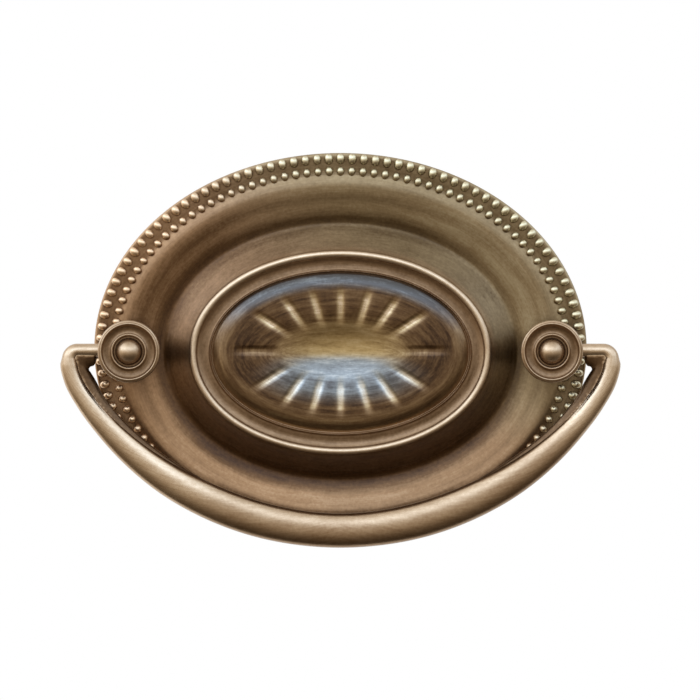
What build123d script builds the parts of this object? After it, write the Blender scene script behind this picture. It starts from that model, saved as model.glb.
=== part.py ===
from build123d import *
from math import cos, hypot, pi, sin, sqrt
import os

# Oval bail pull in cast and pressed brass, in millimetres.
# X runs along the pull, Z is up, -Y faces the person who pulls, and +Y goes
# into the drawer. The origin is on the drawer's face, midway between the two
# studs. Heights "h" are measured out from the drawer's face, so h = -Y.

# ---- driving dimensions ------------------------------------------------------
stud_spacing = 76.2            # centre to centre of the two posts
sheet = 1.0                    # thickness of the pressed backplate

# backplate outline and bead rows, semi axes of ellipses
outline_a, outline_b = 44.85, 35.75
band_in_a, band_in_b = 39.2, 30.4
band_h = 1.9                   # flat top of the beaded border
bead_out_a, bead_out_b, bead_out_n = 43.60, 34.70, 116
bead_in_a, bead_in_b, bead_in_n = 41.25, 32.45, 114
bead_r = 0.76
bead_h = 1.95                  # height of the bead centres

# ellipse that bounds the medallion; the turned-looking mouldings follow it at
# a constant distance d
field_a, field_b = 23.6, 14.8

# medallion: a shallow dish with sixteen raised lobes inside a rolled edge
crest_d, crest_h = -4.4, 6.58  # top of the rolled edge
bowl_a, bowl_b, bowl_c = 37.8, 22.0, 8.0
bowl_h = 13.05                 # height of the centre of the ellipsoid that forms the dish
cap_a, cap_b = 20.2, 11.4      # where the dish runs out in the rolled edge
ray_deg = (0, 24.0, 43.4, 64.8, 90)  # directions of the grooves between the lobes, in one quarter
lobe_in_a, lobe_in_b = 10.6, 5.5
lobe_out_a, lobe_out_b = 19.6, 11.6
lobe_lean = 0.70               # the inner ends lie nearer to the X axis by this factor
lobe_rise = 0.50
lobe_sink = 1.0                # depth of a lobe's centre under the dish
lobe_gap = 0.65                # width of the groove between two lobes

# seats for the posts
seat_r = 4.6
seat_h = 2.2
seat_hole_r = 2.75

# posts
flange_r, flange_h = 4.3, 3.3
neck_r = 3.1
cap_r = 5.6
cap_under_h, cap_edge_h, cap_top_h = 8.2, 8.7, 11.2
dish_r, dish_h = 4.55, 10.25
ring_r, ring_in_r, ring_h = 3.45, 3.05, 10.85
groove_r, groove_h = 2.35, 10.0
button_h = 12.3
spigot_r = 2.6
shank_r = 2.0                  # plain shank in the drawer front
shank_len = 14.0
thread_r = 1.8                 # threaded end, at its mean radius
stud_len = 26.0

# bail
pivot_h = 5.75                 # height of the swing axis
pin_r = 1.25
pin_hole_r = 1.31
pin_end = 37.0                 # X of a pin's inner end
# stations along one half, from the upper end to the middle of the grip:
# outer edge (x, z), inner edge (x, z), half depth
bail_half = [
    (49.35, 1.25, 47.90, 1.25, 0.50),
    (49.95, 0.92, 47.60, 0.92, 1.02),
    (50.35, 0.25, 47.45, 0.25, 1.32),
    (50.66, -1.20, 47.00, -1.15, 1.45),
    (50.74, -3.15, 45.75, -2.90, 1.55),
    (50.12, -5.75, 44.75, -4.70, 1.63),
    (47.60, -10.62, 42.63, -8.56, 1.78),
    (44.25, -15.22, 39.72, -12.26, 1.93),
    (40.50, -19.50, 36.30, -15.55, 2.05),
    (36.40, -23.33, 32.49, -18.55, 2.14),
    (31.90, -26.72, 28.40, -21.28, 2.20),
    (27.00, -29.58, 24.05, -23.75, 2.25),
    (21.90, -31.92, 19.40, -25.72, 2.28),
    (16.60, -33.75, 14.65, -27.33, 2.30),
    (11.10, -35.04, 9.80, -28.52, 2.30),
    (5.55, -35.79, 4.90, -29.28, 2.30),
    (0.00, -36.05, 0.00, -29.55, 2.30),
]
# haunch in the inner corner between arm and limb, a short bar of oval section
haunch_x0, haunch_x1 = 44.3, 47.6
haunch_low, haunch_high = -2.90, 0.60
haunch_e = 1.15                # its half depth

# fasteners behind the drawer front
front_thick = 19.0             # drawer front that the pull is clamped to
washer_r, washer_hole_r, washer_t = 4.5, 2.15, 0.8
nut_flat, nut_t, nut_hole_r = 7.0, 3.2, 1.82

os.makedirs("parts", exist_ok=True)

post_x = stud_spacing / 2
# the drawer's face seen from the front: local x is +X, local y is +Z, and
# local z is the height h
FRONT = Plane(origin=(0, 0, 0), x_dir=(1, 0, 0), z_dir=(0, -1, 0))
# the plane of a moulding's section: local x is +X, local y is the height h
SECTION = Plane(origin=(0, 0, 0), x_dir=(1, 0, 0), z_dir=(0, 0, -1))


def front(h):
    return FRONT.offset(h)


def on_ellipse(a, b, count, steps=7200):
    """Points at equal distances along an ellipse, starting at its top."""
    lengths = [0.0]
    for i in range(steps):
        t0, t1 = 2 * pi * i / steps, 2 * pi * (i + 1) / steps
        lengths.append(lengths[-1] + hypot(a * (sin(t1) - sin(t0)), b * (cos(t1) - cos(t0))))
    points, i = [], 0
    for k in range(count):
        goal = lengths[-1] * k / count
        while lengths[i + 1] < goal:
            i += 1
        f = (goal - lengths[i]) / (lengths[i + 1] - lengths[i])
        t = 2 * pi * (i + f) / steps
        points.append((a * sin(t), b * cos(t)))
    return points


def dish_top(x, z):
    return bowl_h - bowl_c * sqrt(1 - (x / bowl_a) ** 2 - (z / bowl_b) ** 2)


# ---- backplate ---------------------------------------------------------------
# lobes: flat ellipsoids laid along the dish's slope
lobes = []


def lobe_ends(angle):
    """Inner and outer end of the line at a polar angle, as (x, z) pairs."""
    c, s = cos(angle), sin(angle)
    r = 1 / hypot(c / lobe_out_a, s / lobe_out_b)
    q = 1 / hypot(c / lobe_in_a, lobe_lean * s / lobe_in_b)
    return (q * c, q * lobe_lean * s), (r * c, r * s)


def lobe_point(angle, f):
    (xi, zi), (xo, zo) = lobe_ends(angle)
    return xi + f * (xo - xi), zi + f * (zo - zi)


half_turn = list(ray_deg) + [180 - a for a in ray_deg[-2::-1]]
rays = [a * pi / 180 for a in half_turn + [180 + a for a in half_turn[1:]]]
for ray0, ray1 in zip(rays, rays[1:]):
    t = (ray0 + ray1) / 2
    (xi, zi), (xo, zo) = lobe_ends(t)
    inner_end = Vector(xi, -dish_top(xi, zi), zi)
    outer_end = Vector(xo, -dish_top(xo, zo), zo)
    along = (outer_end - inner_end).normalized()
    f = 0.56
    xm, zm = lobe_point(t, f)
    x0, z0 = lobe_point(ray0, f)
    x1, z1 = lobe_point(ray1, f)
    chord = (x1 - x0, z1 - z0)
    ux, uz = (xo - xi), (zo - zi)
    ul = hypot(ux, uz)
    width = abs(chord[0] * uz - chord[1] * ux) / ul - lobe_gap
    length = (outer_end - inner_end).length
    c = lobe_sink + lobe_rise
    grow = 1 / sqrt(1 - (lobe_sink / c) ** 2)
    side = Vector(-uz / ul, 0, ux / ul)
    out = along.cross(side)
    if out.Y > 0:
        out = out * -1
    middle = Vector(xm, -dish_top(xm, zm), zm) - out * lobe_sink
    lobe_plane = Plane(origin=middle, x_dir=along, z_dir=out)
    blank = scale(Sphere(1.0), by=(length / 2 * grow, width / 2 * grow, c))
    lobes.append(lobe_plane.location * blank)

hollow = front(bowl_h).location * scale(Sphere(1.0), by=(bowl_a, bowl_b, bowl_c))
middle_skin = front(bowl_h).location * scale(
    Sphere(1.0), by=(bowl_a + sheet / 2, bowl_b + sheet / 2, bowl_c + sheet / 2))
back_skin = front(bowl_h).location * scale(
    Sphere(1.0), by=(bowl_a + sheet, bowl_b + sheet, bowl_c + sheet))
with BuildPart() as reeding:
    # only what stands above the middle of the sheet
    add(lobes)
    add(middle_skin, mode=Mode.INTERSECT)
with BuildPart() as dish:
    with BuildSketch(front(3.0)):
        Ellipse(cap_a, cap_b)
    extrude(amount=5.0)
    add(back_skin, mode=Mode.INTERSECT)
    add(hollow, mode=Mode.SUBTRACT)

bead_points = [
    p for p in on_ellipse(bead_out_a, bead_out_b, bead_out_n) + on_ellipse(bead_in_a, bead_in_b, bead_in_n)
    if hypot(abs(p[0]) - post_x, p[1]) > seat_r + bead_r * 0.6
]

with BuildPart() as backplate:
    # mouldings between the dish and the border: one closed section carried
    # round the medallion's ellipse
    with BuildLine(FRONT) as ring_path:
        EllipticalCenterArc((0, 0), field_a, field_b, 0, arc_size=360)
    with BuildSketch(SECTION.offset(0)) as ring_section:
        with BuildLine():
            s = field_a
            # front: rolled edge, inner ridge, cove, outer ridge, pedestal, trough, shoulder
            Spline((s + crest_d, crest_h), (s - 3.2, 6.40), (s - 1.7, 5.80), (s - 0.62, 5.16), tangents=((1, 0), (0.80, -0.45)))
            ThreePointArc((s - 0.62, 5.16), (s - 0.46, 5.14), (s - 0.30, 5.30))
            ThreePointArc((s - 0.30, 5.30), (s, 5.62), (s + 0.30, 5.34))
            ThreePointArc((s + 0.30, 5.34), (s + 1.36, 5.04), (s + 2.42, 5.46))
            ThreePointArc((s + 2.42, 5.46), (s + 3.10, 6.10), (s + 3.78, 5.50))
            Spline((s + 3.78, 5.50), (s + 4.4, 4.72), (s + 5.6, 3.52), (s + 7.1, 2.20), (s + 8.0, 1.53), (s + 8.6, 1.30),
                   tangents=((0.62, -1), (1, -0.12)))
            Spline((s + 8.6, 1.30), (s + 10.4, 1.69), (s + 12.6, 2.10), (s + 14.2, 2.47), (s + 15.5, 2.64), tangents=((1, 0.08), (1, 0)))
            Spline((s + 15.5, 2.64), (s + 16.1, 2.40), (s + 16.5, 1.62), tangents=((1, 0), (0.4, -1)))
            # back: the same shape one sheet lower
            Line((s + 16.5, 1.62), (s + 15.9, 1.15))
            Spline((s + 15.9, 1.15), (s + 14.9, 1.56), (s + 12.4, 1.06), (s + 8.6, 0.30), tangents=((-1, 0.6), (-1, -0.04)))
            Spline((s + 8.6, 0.30), (s + 7.2, 1.10), (s + 5.2, 2.85), (s + 3.3, 4.55), tangents=((-1, 0.12), (-0.8, 0.8)))
            Polyline((s + 3.3, 4.55), (s - 0.8, 4.10), (s - 2.3, 4.95), (s + crest_d, crest_h - sheet), (s + crest_d, crest_h))
        make_face()
    sweep(path=ring_path.line)
    # beaded border: flat ring with its edge turned down to the drawer's face
    with BuildSketch(front(band_h - sheet)):
        Ellipse(outline_a, outline_b)
        Ellipse(band_in_a, band_in_b, mode=Mode.SUBTRACT)
    extrude(amount=sheet)
    with BuildSketch(front(0)):
        Ellipse(outline_a, outline_b)
        Ellipse(outline_a - sheet, outline_b - sheet, mode=Mode.SUBTRACT)
    extrude(amount=band_h)
    # dish and its lobes
    add(dish.part)
    add(reeding.part)
    # seats under the posts
    with BuildSketch(front(seat_h)):
        with Locations((post_x, 0), (-post_x, 0)):
            Circle(seat_r)
    extrude(amount=6, mode=Mode.SUBTRACT)
    with BuildSketch(front(0.9)):
        with Locations((post_x, 0), (-post_x, 0)):
            Circle(seat_r)
    extrude(amount=seat_h - 0.9)
    with BuildSketch(front(-1)):
        with Locations((post_x, 0), (-post_x, 0)):
            Circle(seat_hole_r)
    extrude(amount=6, mode=Mode.SUBTRACT)
    # beads
    with Locations(*[front(bead_h).from_local_coords(Vector(x, z, 0)) for x, z in bead_points]):
        Sphere(bead_r)
backplate.part.label = "backplate"
export_step(backplate.part, "parts/backplate.step")

# ---- posts -------------------------------------------------------------------
for name, side in (("post_left", -1), ("post_right", 1)):
    # half section of the turning: local x is the radius, local y is the height
    turning = Plane(origin=(side * post_x, 0, 0), x_dir=(1, 0, 0), z_dir=(0, 0, -1))
    with BuildPart() as post:
        with BuildSketch(turning):
            with BuildLine():
                Polyline((0, button_h), (0, -stud_len), (thread_r - 0.5, -stud_len), (thread_r, -stud_len + 0.5),
                         (thread_r, -shank_len - 0.2), (shank_r, -shank_len), (shank_r, 0.05), (spigot_r, 0.05),
                         (spigot_r, seat_h), (flange_r - 0.25, seat_h))
                ThreePointArc((flange_r - 0.25, seat_h), (flange_r, (seat_h + flange_h) / 2), (flange_r - 0.45, flange_h))
                Spline((flange_r - 0.45, flange_h), (neck_r, flange_h + 1.1), (neck_r, cap_under_h - 1.0), (neck_r + 0.6, cap_under_h),
                       tangents=((-1, 0.3), (1, 0.9)))
                Line((neck_r + 0.6, cap_under_h), (cap_r - 0.35, cap_edge_h - 0.25))
                ThreePointArc((cap_r - 0.35, cap_edge_h - 0.25), (cap_r - 0.06, cap_edge_h - 0.02), (cap_r, cap_edge_h + 0.35))
                Line((cap_r, cap_edge_h + 0.35), (cap_r, cap_top_h - 0.85))
                # rim: two small rolls with a fine groove between them
                ThreePointArc((cap_r, cap_top_h - 0.85), (cap_r - 0.10, cap_top_h - 0.38), (cap_r - 0.42, cap_top_h - 0.22))
                ThreePointArc((cap_r - 0.42, cap_top_h - 0.22), (cap_r - 0.68, cap_top_h), (dish_r, cap_top_h - 0.28))
                Spline((dish_r, cap_top_h - 0.28), (4.15, dish_h + 0.08), (ring_r + 0.25, dish_h + 0.05), (ring_r, ring_h - 0.12), tangents=((-0.6, -1), (-0.4, 1)))
                ThreePointArc((ring_r, ring_h - 0.12), ((ring_r + ring_in_r) / 2, ring_h), (ring_in_r, ring_h - 0.12))
                Line((ring_in_r, ring_h - 0.12), (ring_in_r - 0.2, groove_h))
                Line((ring_in_r - 0.2, groove_h), (groove_r, groove_h))
                Spline((groove_r, groove_h), (groove_r - 0.12, groove_h + 0.9), (1.45, button_h - 0.55), (0, button_h), tangents=((0.2, 1), (-1, 0)))
            make_face()
        revolve(axis=Axis((side * post_x, 0, 0), (0, 1, 0)))
        # blind hole for the bail's pin, drilled from the outer side
        with BuildSketch(Plane(origin=(side * (pin_end - 0.4), -pivot_h, 0), x_dir=(0, 1, 0), z_dir=(side, 0, 0))):
            Circle(pin_hole_r)
        extrude(amount=8, mode=Mode.SUBTRACT)
    post.part.label = name
    export_step(post.part, "parts/" + name + ".step")

# ---- bail --------------------------------------------------------------------
# one half is lofted a little past the middle and cut there, so that the two
# halves meet square
past_middle = [(-xo, zo, -xi, zi, e) for xo, zo, xi, zi, e in bail_half[-2:-5:-1]]
with BuildPart() as bail:
    for xo, zo, xi, zi, e in bail_half + past_middle:
        width = hypot(xo - xi, zo - zi)
        across = Vector((xo - xi) / width, 0, (zo - zi) / width)
        # section normal: square to the width and to Y
        normal = across.cross(Vector(0, 1, 0))
        with BuildSketch(Plane(origin=((xo + xi) / 2, -pivot_h, (zo + zi) / 2), x_dir=across, z_dir=normal)):
            Ellipse(width / 2, e)
    loft()
    split(bisect_by=Plane.YZ, keep=Keep.TOP)
    mirror(about=Plane.YZ)
    for side in (-1, 1):
        with BuildSketch(Plane(origin=(side * pin_end, -pivot_h, 0), x_dir=(0, 1, 0), z_dir=(side, 0, 0))):
            Circle(pin_r)
        extrude(amount=48.6 - pin_end)
    # haunches under the arms
    for side in (-1, 1):
        with BuildSketch(Plane(origin=(side * haunch_x0, -pivot_h, (haunch_low + haunch_high) / 2),
                               x_dir=(0, 0, 1), z_dir=(side, 0, 0))):
            Ellipse((haunch_high - haunch_low) / 2, haunch_e)
        extrude(amount=haunch_x1 - haunch_x0)
bail.part.label = "bail"
export_step(bail.part, "parts/bail.step")

# ---- washers and nuts --------------------------------------------------------
for suffix, side in (("left", -1), ("right", 1)):
    with BuildPart() as washer:
        with BuildSketch(front(-front_thick - washer_t)):
            with Locations((side * post_x, 0)):
                Circle(washer_r)
                Circle(washer_hole_r, mode=Mode.SUBTRACT)
        extrude(amount=washer_t)
        fillet(washer.edges().filter_by(GeomType.CIRCLE).sort_by(lambda e: e.radius)[-2:], 0.18)
    washer.part.label = "washer_" + suffix
    export_step(washer.part, "parts/washer_" + suffix + ".step")

    nut_back = -front_thick - washer_t - nut_t
    with BuildPart() as nut:
        with BuildSketch(front(nut_back)):
            with Locations((side * post_x, 0)):
                RegularPolygon(nut_flat / 2, 6, major_radius=False)
        extrude(amount=nut_t)
        # both ends are turned to a cone, so the corners are rounded off
        with BuildSketch(Plane(origin=(side * post_x, 0, 0), x_dir=(1, 0, 0), z_dir=(0, 0, -1))):
            with BuildLine():
                Polyline((0, nut_back), (nut_flat / 2 - 0.1, nut_back), (nut_flat / 2 + 0.75, nut_back + 0.5),
                         (nut_flat / 2 + 0.75, nut_back + nut_t - 0.5), (nut_flat / 2 - 0.1, nut_back + nut_t),
                         (0, nut_back + nut_t), close=True)
            make_face()
        revolve(axis=Axis((side * post_x, 0, 0), (0, 1, 0)), mode=Mode.INTERSECT)
        with BuildSketch(front(nut_back - 1)):
            with Locations((side * post_x, 0)):
                Circle(nut_hole_r)
        extrude(amount=nut_t + 2, mode=Mode.SUBTRACT)
    nut.part.label = "nut_" + suffix
    export_step(nut.part, "parts/nut_" + suffix + ".step")
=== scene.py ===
import math

import bmesh
import bpy
import numpy as np
from mathutils import Matrix, Vector


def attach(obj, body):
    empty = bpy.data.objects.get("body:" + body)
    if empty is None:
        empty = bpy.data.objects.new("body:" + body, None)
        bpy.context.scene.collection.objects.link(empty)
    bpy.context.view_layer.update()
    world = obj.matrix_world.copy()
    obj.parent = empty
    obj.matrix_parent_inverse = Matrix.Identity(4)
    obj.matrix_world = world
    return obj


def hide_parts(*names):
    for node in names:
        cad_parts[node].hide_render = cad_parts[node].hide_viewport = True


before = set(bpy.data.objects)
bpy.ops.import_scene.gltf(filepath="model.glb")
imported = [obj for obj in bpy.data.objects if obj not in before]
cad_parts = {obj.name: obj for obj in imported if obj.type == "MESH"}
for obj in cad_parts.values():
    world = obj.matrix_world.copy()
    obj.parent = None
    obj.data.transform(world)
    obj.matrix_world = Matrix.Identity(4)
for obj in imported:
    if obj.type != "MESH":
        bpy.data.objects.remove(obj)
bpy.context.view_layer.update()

# Oval bail pull: the looks. Lengths in this script are millimetres until the
# meshes are made; h is the height out from the drawer's face, so h = -Y.
MM = 0.001
POST_X = 38.1
PIVOT_H = 5.75
FIELD_A, FIELD_B = 23.6, 14.8      # ellipse that bounds the medallion
FIELD_Z = -0.40                    # its middle, a little below the posts' line
OUT_A, OUT_B = 44.85, 35.75        # outline of the plate
BAND_H = 1.9
SEAT_R, SEAT_H, SEAT_HOLE = 4.6, 2.2, 2.75

rng = np.random.default_rng(11)


# ---- small tools -------------------------------------------------------------
def smooth(e0, e1, x):
    t = np.clip((np.asarray(x, float) - e0) / (e1 - e0), 0, 1)
    return t * t * (3 - 2 * t)


def bump(centre, width, x):
    """A soft bump of height 1 around a centre."""
    return np.exp(-((np.asarray(x, float) - centre) / width) ** 2)


def smin(a, b, k):
    m = np.clip(0.5 + 0.5 * (b - a) / k, 0, 1)
    return b * (1 - m) + a * m - k * m * (1 - m)


def hermite(points, m0=None, m1=None):
    """Smooth curve y(x) through points, with given end slopes."""
    p = np.array(points, float)
    x, y = p[:, 0], p[:, 1]
    s = np.diff(y) / np.diff(x)
    m = np.empty(len(x))
    m[1:-1] = (s[:-1] * np.diff(x)[1:] + s[1:] * np.diff(x)[:-1]) / (x[2:] - x[:-2])
    m[0] = s[0] if m0 is None else m0
    m[-1] = s[-1] if m1 is None else m1

    def at(q):
        q = np.asarray(q, float)
        i = np.clip(np.searchsorted(x, q) - 1, 0, len(x) - 2)
        w = x[i + 1] - x[i]
        t = np.clip((q - x[i]) / w, 0, 1)
        return ((2 * t**3 - 3 * t**2 + 1) * y[i] + (t**3 - 2 * t**2 + t) * w * m[i]
                + (-2 * t**3 + 3 * t**2) * y[i + 1] + (t**3 - t**2) * w * m[i + 1])
    return at


def arc3(p0, p1, p2):
    """Height of the circle through three points (p1 is its middle)."""
    (ax, ay), (bx, by), (cx, cy) = p0, p1, p2
    d = 2 * (ax * (by - cy) + bx * (cy - ay) + cx * (ay - by))
    ux = ((ax**2 + ay**2) * (by - cy) + (bx**2 + by**2) * (cy - ay) + (cx**2 + cy**2) * (ay - by)) / d
    uy = ((ax**2 + ay**2) * (cx - bx) + (bx**2 + by**2) * (ax - cx) + (cx**2 + cy**2) * (bx - ax)) / d
    r = math.hypot(ax - ux, ay - uy)
    sign = 1 if by > uy else -1
    return lambda q: uy + sign * np.sqrt(np.maximum(r * r - (np.asarray(q, float) - ux) ** 2, 0))


def make_object(name, verts, faces):
    mesh = bpy.data.meshes.new(name)
    mesh.from_pydata([tuple(v) for v in np.asarray(verts, float) * MM], [], [tuple(int(i) for i in f) for f in faces])
    mesh.update()
    obj = bpy.data.objects.new(name, mesh)
    bpy.context.scene.collection.objects.link(obj)
    return obj


def recalc(obj):
    bm = bmesh.new()
    bm.from_mesh(obj.data)
    bmesh.ops.recalc_face_normals(bm, faces=bm.faces)
    bm.to_mesh(obj.data)
    bm.free()
    obj.data.update()


def boolean(obj, others, operation):
    """Joins or cuts with other meshes, which are used up."""
    for other in others:
        mod = obj.modifiers.new("b", "BOOLEAN")
        mod.operation = operation
        mod.solver = "MANIFOLD"
        mod.object = other
        dg = bpy.context.evaluated_depsgraph_get()
        done = bpy.data.meshes.new_from_object(obj.evaluated_get(dg))
        obj.modifiers.clear()
        old = obj.data
        obj.data = done
        bpy.data.meshes.remove(old)
        done.name = obj.name
        bpy.data.objects.remove(other)
    return obj


def tidy(obj, merge=0.03):
    """Merges the slivers that a union leaves along its seam."""
    bm = bmesh.new()
    bm.from_mesh(obj.data)
    bmesh.ops.remove_doubles(bm, verts=bm.verts, dist=merge * MM)
    bmesh.ops.dissolve_degenerate(bm, edges=bm.edges, dist=merge / 6 * MM)
    bmesh.ops.triangulate(bm, faces=[f for f in bm.faces if len(f.verts) > 4])
    bmesh.ops.recalc_face_normals(bm, faces=bm.faces)
    bm.to_mesh(obj.data)
    bm.free()
    obj.data.update()


def shade(obj, angle):
    mesh = obj.data
    mesh.shade_smooth()
    mesh.set_sharp_from_angle(angle=math.radians(angle))


def coords(obj):
    """Vertices of a mesh in millimetres."""
    co = np.empty(len(obj.data.vertices) * 3)
    obj.data.vertices.foreach_get("co", co)
    return co.reshape(-1, 3) / MM


def set_attr(obj, name, values):
    values = np.asarray(values, np.float32)
    kind = "FLOAT" if values.ndim == 1 else "FLOAT_VECTOR"
    attribute = obj.data.attributes.get(name) or obj.data.attributes.new(name, kind, "POINT")
    attribute.data.foreach_set("value" if kind == "FLOAT" else "vector", values.ravel())


def lathe(name, profile, x0, segments=96, axis="Y"):
    """Closed turning about the Y axis through x0. The profile is (radius, h)
    from one end of the axis to the other; a radius of 0 gives one vertex."""
    verts, rings = [], []
    for r, h in profile:
        if r < 1e-6:
            rings.append([len(verts)])
            verts.append((x0, -h, 0))
        else:
            ids = []
            for k in range(segments):
                a = 2 * math.pi * k / segments
                ids.append(len(verts))
                verts.append((x0 + r * math.cos(a), -h, r * math.sin(a)))
            rings.append(ids)
    faces = []
    for a, b in zip(rings, rings[1:]):
        for k in range(segments):
            k2 = (k + 1) % segments
            if len(a) == 1 and len(b) > 1:
                faces.append((a[0], b[k2], b[k]))
            elif len(b) == 1 and len(a) > 1:
                faces.append((a[k], a[k2], b[0]))
            elif len(a) > 1:
                faces.append((a[k], a[k2], b[k2], b[k]))
    obj = make_object(name, verts, faces)
    recalc(obj)
    return obj


def round_chain(points, radius, steps=5):
    """A polyline with its inner corners rounded."""
    out = [points[0]]
    for a, b, c in zip(points, points[1:], points[2:]):
        a, b, c = np.array(a, float), np.array(b, float), np.array(c, float)
        la, lc = np.linalg.norm(a - b), np.linalg.norm(c - b)
        k = min(radius, 0.45 * la, 0.45 * lc)
        p, q = b + (a - b) / la * k, b + (c - b) / lc * k
        for i in range(steps + 1):
            t = i / steps
            out.append(tuple((1 - t) ** 2 * p + 2 * t * (1 - t) * b + t * t * q))
    out.append(points[-1])
    return out


# ---- backplate: section heights ------------------------------------------------
cove = hermite([(0.0, 5.15), (0.5, 5.12), (1.36, 5.04), (2.0, 5.18), (2.42, 5.46)], -0.05, 0.9)
outer_ridge = arc3((2.42, 5.46), (3.10, 6.10), (3.78, 5.50))
pedestal = hermite([(3.78, 5.50), (4.4, 4.72), (5.6, 3.52), (7.1, 2.20), (8.0, 1.53), (8.6, 1.30)], -1.6, -0.12)
trough = hermite([(8.6, 1.30), (9.2, 1.375), (10.4, 1.69), (11.2, 1.865), (12.6, 2.10), (13.2, 2.20), (14.2, 2.38), (15.2, 2.48)], 0.03, 0.04)
shoulder = hermite([(15.2, 2.48), (15.8, 2.45), (16.4, 2.30), (17.0, 2.07), (17.5, 1.94), (17.9, 1.90)], 0.04, 0.0)


def inner_ridge(d):
    """Fine ridge that bounds the medallion."""
    return 0.42 * bump(0.0, 0.19, d)


def ring_height(d):
    d = np.asarray(d, float)
    return np.select(
        [d < 2.42, d < 3.78, d < 8.6, d < 15.2, d < 17.9],
        [cove(np.clip(d, 0.0, 2.42)) + inner_ridge(d), outer_ridge(np.clip(d, 2.42, 3.78)), pedestal(d), trough(d), shoulder(d)], BAND_H)


# medallion: shallow dish, sixteen lobes with grooves between them, rolled edge
CREST_A, CREST_B, CREST_H = 17.5, 10.05, 6.45
NOSE = 0.42                     # where the lobes are steepest, as a share of the crest
STEEP = 0.285
RAY_DEG = (0, 24.0, 43.4, 64.8, 90)
RAY_IN = (11.6, 5.3)
RAY_OUT = (19.5, 11.8)
GROOVE = 0.30


def dish_curve():
    """Height of the dish along its short axis, by its slope."""
    u = np.linspace(0, 1.6, 641)
    slope = np.where(u < NOSE, STEEP * (u / NOSE), STEEP * (1 - u) / (1 - NOSE))
    kernel = np.hanning(49)
    kernel /= kernel.sum()
    padded = np.concatenate([-slope[1:60][::-1], slope, np.full(59, slope[-1])])
    slope = np.convolve(padded, kernel, "same")[59:-59]
    h = np.concatenate([[0], np.cumsum((slope[1:] + slope[:-1]) / 2 * np.diff(u) * CREST_B)])
    h += CREST_H - np.interp(1.0, u, h)
    return u, h


DISH_U, DISH_H = dish_curve()


def edge_roll(s):
    """Rolled edge: height against the distance inside the medallion's ellipse."""
    u = np.clip((np.asarray(s, float) - 0.30) / 3.0, 0, 1)
    return 5.15 + 1.31 * (1 - (1 - u) ** 2.1)


def ray_ends(phi):
    c, s = math.cos(phi), math.sin(phi)
    r = 1 / math.hypot(c / RAY_OUT[0], s / RAY_OUT[1])
    q = 1 / math.hypot(c / RAY_IN[0], 0.70 * s / RAY_IN[1])
    return (q * c, q * 0.70 * s), (r * c, r * s)


def ray_distance(x, z):
    """Distance to the nearest of the sixteen rays."""
    x, z = np.abs(x), np.abs(z)
    best = np.full(np.shape(x), 1e9)
    for degrees in RAY_DEG:
        (xi, zi), (xo, zo) = ray_ends(math.radians(degrees))
        ux, uz = xo - xi, zo - zi
        l = math.hypot(ux, uz)
        best = np.minimum(best, np.abs((x - xi) * uz - (z - zi) * ux) / l)
    return best


def inside_distance(x, z):
    """Distance s inside the medallion's ellipse, by ellipses that shrink by s."""
    x, z = np.abs(np.asarray(x, float)), np.abs(np.asarray(z, float))
    lo, hi = np.zeros(x.shape), np.full(x.shape, 14.7)
    for _ in range(40):
        m = (lo + hi) / 2
        outside = (x / (FIELD_A - m)) ** 2 + (z / (FIELD_B - m)) ** 2 > 1
        hi = np.where(outside, m, hi)
        lo = np.where(outside, lo, m)
    return (lo + hi) / 2


def groove_depth(x, z):
    u = np.hypot(x / CREST_A, z / CREST_B)
    ui = np.hypot(x / RAY_IN[0], z / RAY_IN[1])
    uo = np.hypot(x / RAY_OUT[0], z / RAY_OUT[1])
    delta = ray_distance(x, z)
    wall = 0.80 * (1 - smooth(0.15, 1.05, delta)) + 0.20 * (1 - smooth(0.4, 1.9, delta))
    along = smooth(0.80, 1.40, ui) * (1 - smooth(0.80, 1.06, uo))
    return GROOVE * along * wall


def medallion_height(x, z):
    s = inside_distance(x, z)
    u = np.hypot(x / CREST_A, z / CREST_B)
    dish = np.interp(u, DISH_U, DISH_H)
    return smin(dish, edge_roll(s), 0.22) - groove_depth(x, z + FIELD_Z) + inner_ridge(s)


# back of the sheet
back_ring = hermite([(-4.4, 5.30), (-2.3, 4.70), (-0.8, 4.14), (1.2, 4.20), (2.6, 4.48), (3.3, 4.42), (4.2, 3.70), (5.2, 2.80),
                     (7.2, 1.06), (8.1, 0.45), (8.8, 0.31), (10.4, 0.66), (12.4, 1.07), (14.0, 1.43), (14.9, 1.55), (15.5, 1.35),
                     (16.1, 1.00), (16.6, 0.90)])


# ---- backplate: mesh ---------------------------------------------------------
def ellipse_point(t, a, b):
    return a * np.cos(t), b * np.sin(t)


def ring_xy(t, d):
    """Point at distance d outside the medallion's ellipse; towards the edge
    the distances stretch so that the last one lies on the outline."""
    x, z = ellipse_point(t, FIELD_A, FIELD_B)
    z = z + FIELD_Z
    nx, nz = np.cos(t) / FIELD_A, np.sin(t) / FIELD_B
    l = np.hypot(nx, nz)
    nx, nz = nx / l, nz / l
    # distance to the outline along the normal
    qa = (nx / OUT_A) ** 2 + (nz / OUT_B) ** 2
    qb = 2 * (x * nx / OUT_A**2 + z * nz / OUT_B**2)
    qc = (x / OUT_A) ** 2 + (z / OUT_B) ** 2 - 1
    far = (-qb + np.sqrt(qb * qb - 4 * qa * qc)) / (2 * qa)
    stretch = np.where(d > 15.2, 15.2 + (d - 15.2) * (far - 15.2) / (21.0 - 15.2), d)
    return x + stretch * nx, z + stretch * nz


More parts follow.
